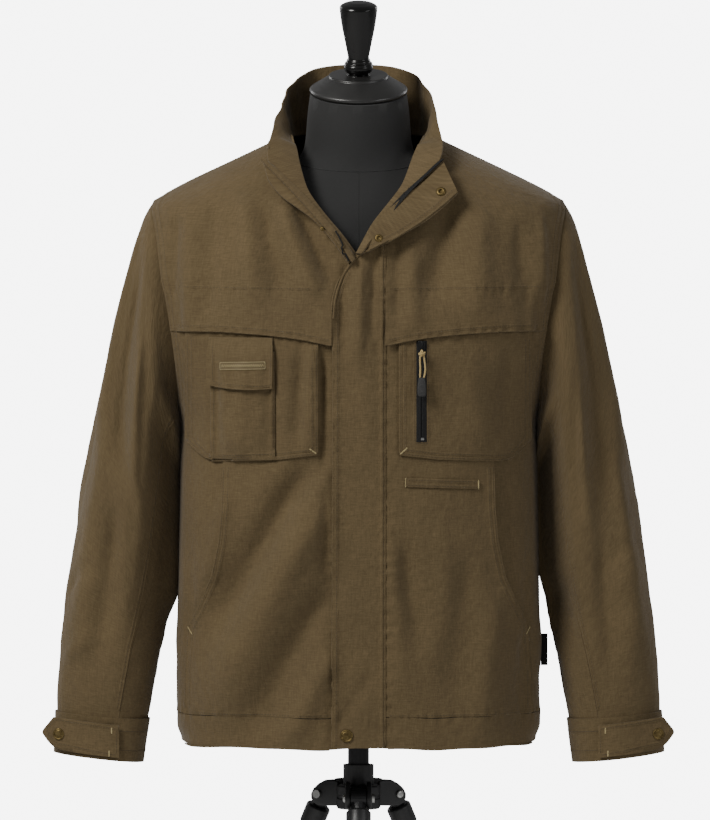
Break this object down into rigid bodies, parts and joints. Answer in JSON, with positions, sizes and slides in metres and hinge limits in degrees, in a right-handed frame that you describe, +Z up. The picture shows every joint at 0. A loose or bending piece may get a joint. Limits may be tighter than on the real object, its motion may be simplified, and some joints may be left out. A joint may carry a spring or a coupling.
{
  "type": "work jacket on a dress form and tripod stand",
  "caption": "Hip length work jacket with stand collar, storm flap yoke and chest pockets, worn open at the neck by a limbless form on a folding tripod.",
  "frame": {"origin": "on the floor, at the middle of the box", "axes": "+Z up, the jacket's front towards -Y, the wearer's left towards +X"},
  "size_m": [0.736, 0.5878, 1.642],
  "materials": {
    "canvas": "olive brown cotton canvas, fine slubby weave",
    "ribbon": "khaki woven ribbon",
    "zip_tape": "black coated tape",
    "zip_metal": "black painted metal",
    "cord": "gold braided cord",
    "rubber": "matt black rubber",
    "brass": "antique brass",
    "jersey": "charcoal black jersey over the form",
    "black_gloss": "satin black lacquer",
    "black_metal": "black anodised tube",
    "black_plastic": "black moulded plastic",
    "steel": "zinc plated"
  },
  "bodies": {
    "stand": {"tripod_hub": "black_plastic", "bolt_front": "steel", "bolt_left": "steel", "bolt_right": "steel"},
    "form_and_jacket": {"back": "canvas", "front_main_right": "canvas", "front_main_left": "canvas", "side_front_right": "canvas", "side_front_left": "canvas", "front_yoke_right": "canvas", "front_yoke_left": "canvas", "hem_band_back": "canvas", "hem_band_right": "canvas", "hem_band_left": "canvas", "placket": "canvas", "placket_lapel": "canvas", "underlap": "canvas", "collar": "canvas", "sleeve_top_right": "canvas", "sleeve_top_left": "canvas", "sleeve_under_right": "canvas", "sleeve_under_left": "canvas", "cuff_right": "canvas", "cuff_left": "canvas", "cuff_tab_right": "canvas", "cuff_tab_left": "canvas", "chest_patch_right": "canvas", "chest_patch_left": "canvas", "phone_pocket": "canvas", "phone_flap": "canvas", "welt": "canvas", "woven_ribbon": "ribbon", "neck_zip_right": "zip_tape", "neck_zip_left": "zip_tape", "chest_zip_tape": "zip_tape", "side_label": "zip_tape", "zip_slider": "zip_metal", "zip_end_stop": "zip_metal", "hem_snap": "brass", "cuff_snap_right": "brass", "cuff_snap_left": "brass", "lapel_socket_high": "brass", "lapel_socket_low": "brass", "underlap_stud": "brass", "form_body": "jersey", "neck_cap": "black_gloss", "finial": "black_gloss", "column": "black_metal"},
    "clamp": {"clamp_ring": "black_plastic"},
    "zip_pull": {"pull_cord": "cord", "pull_grip": "rubber"},
    "front_leg": {"leg_front": "black_metal", "foot_front": "rubber"},
    "left_leg": {"leg_left": "black_metal", "foot_left": "rubber"},
    "right_leg": {"leg_right": "black_metal", "foot_right": "rubber"}
  },
  "joints": [
    {"name": "front_leg_fold", "type": "hinge", "parent": "stand", "child": "front_leg", "pos_m": [0, 0.0453, 0.706], "axis": [1, 0, 0], "range_deg": [0, 25]},
    {"name": "left_leg_fold", "type": "hinge", "parent": "stand", "child": "left_leg", "pos_m": [0.0407, 0.1158, 0.706], "axis": [-0.5, 0.866, 0], "range_deg": [0, 25]},
    {"name": "right_leg_fold", "type": "hinge", "parent": "stand", "child": "right_leg", "pos_m": [-0.0407, 0.1158, 0.706], "axis": [-0.5, -0.866, 0], "range_deg": [0, 25]},
    {"name": "column_slide", "type": "slide", "parent": "stand", "child": "form_and_jacket", "axis": [0, 0, 1], "range_m": [-0.055, 0.24]},
    {"name": "clamp_twist", "type": "hinge", "parent": "stand", "child": "clamp", "pos_m": [0, 0.0923, 0.73], "axis": [0, 0, 1], "range_deg": [0, 60]},
    {"name": "zip_pull_swing", "type": "hinge", "parent": "form_and_jacket", "child": "zip_pull", "pos_m": [0.073, -0.04915, 1.2345], "axis": [-1, 0, 0], "range_deg": [0, 110]}
  ]
}
